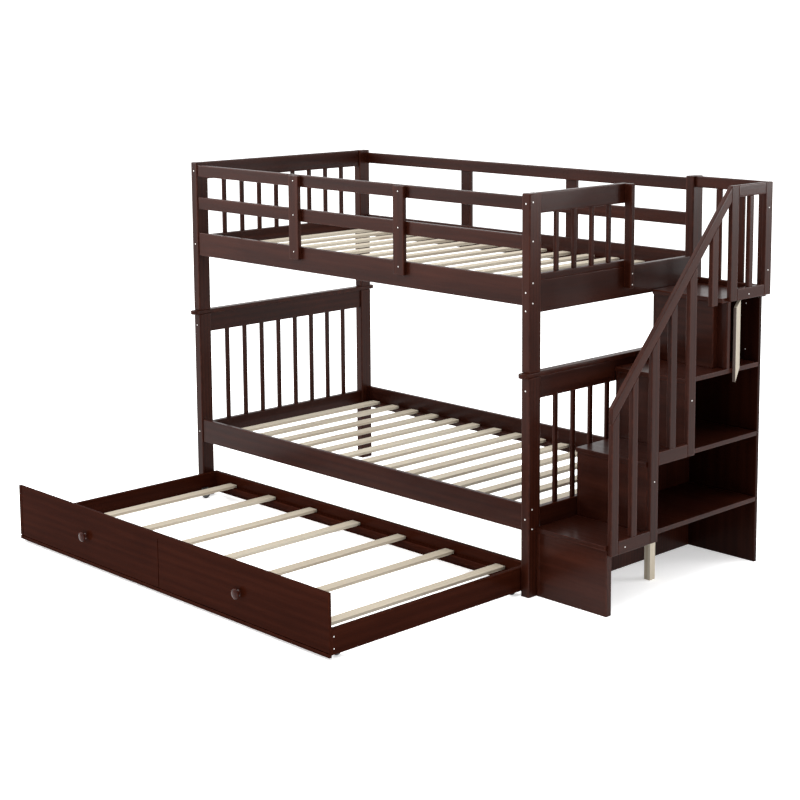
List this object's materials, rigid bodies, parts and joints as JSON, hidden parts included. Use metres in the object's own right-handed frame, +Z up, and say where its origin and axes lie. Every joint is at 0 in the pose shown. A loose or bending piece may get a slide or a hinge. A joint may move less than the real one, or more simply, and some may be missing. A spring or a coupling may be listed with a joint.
{
  "type": "bunk bed with storage staircase and trundle",
  "caption": "Bunk bed with slatted ends and guard rails, an open storage staircase with a sloped handrail, and a roll-out trundle under the lower deck.",
  "frame": {"origin": "centre of the bounding box's underside, on the floor, with the trundle pulled out", "axes": "+X along the bed from the headboard to the staircase, +Y from the open side with the trundle to the back railing, +Z up"},
  "size_m": [2.398, 2.0359, 1.52],
  "materials": {
    "espresso_wood": "dark espresso stain under satin lacquer",
    "pine": "bare sanded pine",
    "knob_wood": "dark stain under gloss lacquer",
    "bolt_white": "white gloss caps",
    "caster_steel": "zinc plated",
    "wheel_plastic": "matt dark plastic"
  },
  "bodies": {
    "bed": {"lower_post_head_front": "espresso_wood", "lower_post_head_back": "espresso_wood", "lower_post_foot_front": "espresso_wood", "lower_post_foot_back": "espresso_wood", "upper_post_head_front": "espresso_wood", "upper_post_head_back": "espresso_wood", "upper_post_foot_front": "espresso_wood", "upper_post_foot_back": "espresso_wood", "end_cap_head": "espresso_wood", "end_cap_foot": "espresso_wood", "lower_head_top_rail": "espresso_wood", "lower_head_bottom_rail": "espresso_wood", "lower_head_slats": "espresso_wood", "lower_foot_top_rail": "espresso_wood", "lower_foot_bottom_rail": "espresso_wood", "lower_foot_slats": "espresso_wood", "upper_head_top_rail": "espresso_wood", "upper_head_bottom_rail": "espresso_wood", "upper_head_slats": "espresso_wood", "upper_foot_top_rail": "espresso_wood", "upper_foot_wide_rail": "espresso_wood", "upper_foot_slats": "espresso_wood", "upper_foot_end_stile": "espresso_wood", "lower_side_rail_front": "espresso_wood", "lower_side_rail_back": "espresso_wood", "upper_side_rail_front": "espresso_wood", "upper_side_rail_back": "espresso_wood", "lower_deck_slats": "pine", "upper_deck_slats": "pine", "front_guard_rails": "espresso_wood", "back_guard_rails": "espresso_wood", "front_guard_stiles": "espresso_wood", "back_guard_stiles": "espresso_wood", "stair_side_panel": "espresso_wood", "stair_risers": "espresso_wood", "stair_treads": "espresso_wood", "stair_platform": "espresso_wood", "stair_back_panel": "espresso_wood", "stair_stud": "espresso_wood", "stair_centre_leg": "pine", "stair_batten": "pine", "handrail_slope": "espresso_wood", "handrail_stiles": "espresso_wood", "handrail_spindles": "espresso_wood", "handrail_cross_rails": "espresso_wood", "rear_railing": "espresso_wood", "frame_bolt_heads": "bolt_white"},
    "trundle": {"trundle_front_panel": "espresso_wood", "trundle_side_rail_head": "espresso_wood", "trundle_side_rail_foot": "espresso_wood", "trundle_front_rail": "espresso_wood", "trundle_rear_rail": "espresso_wood", "trundle_slats": "pine", "trundle_knobs": "knob_wood", "caster_brackets": "caster_steel", "trundle_screw_heads": "bolt_white"},
    "wheel_front_head": {"wheel_front_head": "wheel_plastic"},
    "wheel_front_foot": {"wheel_front_foot": "wheel_plastic"},
    "wheel_rear_head": {"wheel_rear_head": "wheel_plastic"},
    "wheel_rear_foot": {"wheel_rear_foot": "wheel_plastic"}
  },
  "joints": [
    {"name": "trundle_slide", "type": "slide", "parent": "bed", "child": "trundle", "axis": [0, 1, 0], "range_m": [0, 0.945]},
    {"name": "wheel_front_head_spin", "type": "hinge", "parent": "trundle", "child": "wheel_front_head", "pos_m": [-1.126, -0.933, 0.021], "axis": [1, 0, 0], "continuous": true},
    {"name": "wheel_front_foot_spin", "type": "hinge", "parent": "trundle", "child": "wheel_front_foot", "pos_m": [0.767, -0.933, 0.021], "axis": [1, 0, 0], "continuous": true},
    {"name": "wheel_rear_head_spin", "type": "hinge", "parent": "trundle", "child": "wheel_rear_head", "pos_m": [-1.126, -0.058, 0.021], "axis": [1, 0, 0], "continuous": true},
    {"name": "wheel_rear_foot_spin", "type": "hinge", "parent": "trundle", "child": "wheel_rear_foot", "pos_m": [0.767, -0.058, 0.021], "axis": [1, 0, 0], "continuous": true}
  ],
  "couplings": [
    {"joint": "wheel_front_head_spin", "follows": "trundle_slide", "rad_per_m": -47.619},
    {"joint": "wheel_front_foot_spin", "follows": "trundle_slide", "rad_per_m": -47.619},
    {"joint": "wheel_rear_head_spin", "follows": "trundle_slide", "rad_per_m": -47.619},
    {"joint": "wheel_rear_foot_spin", "follows": "trundle_slide", "rad_per_m": -47.619}
  ]
}
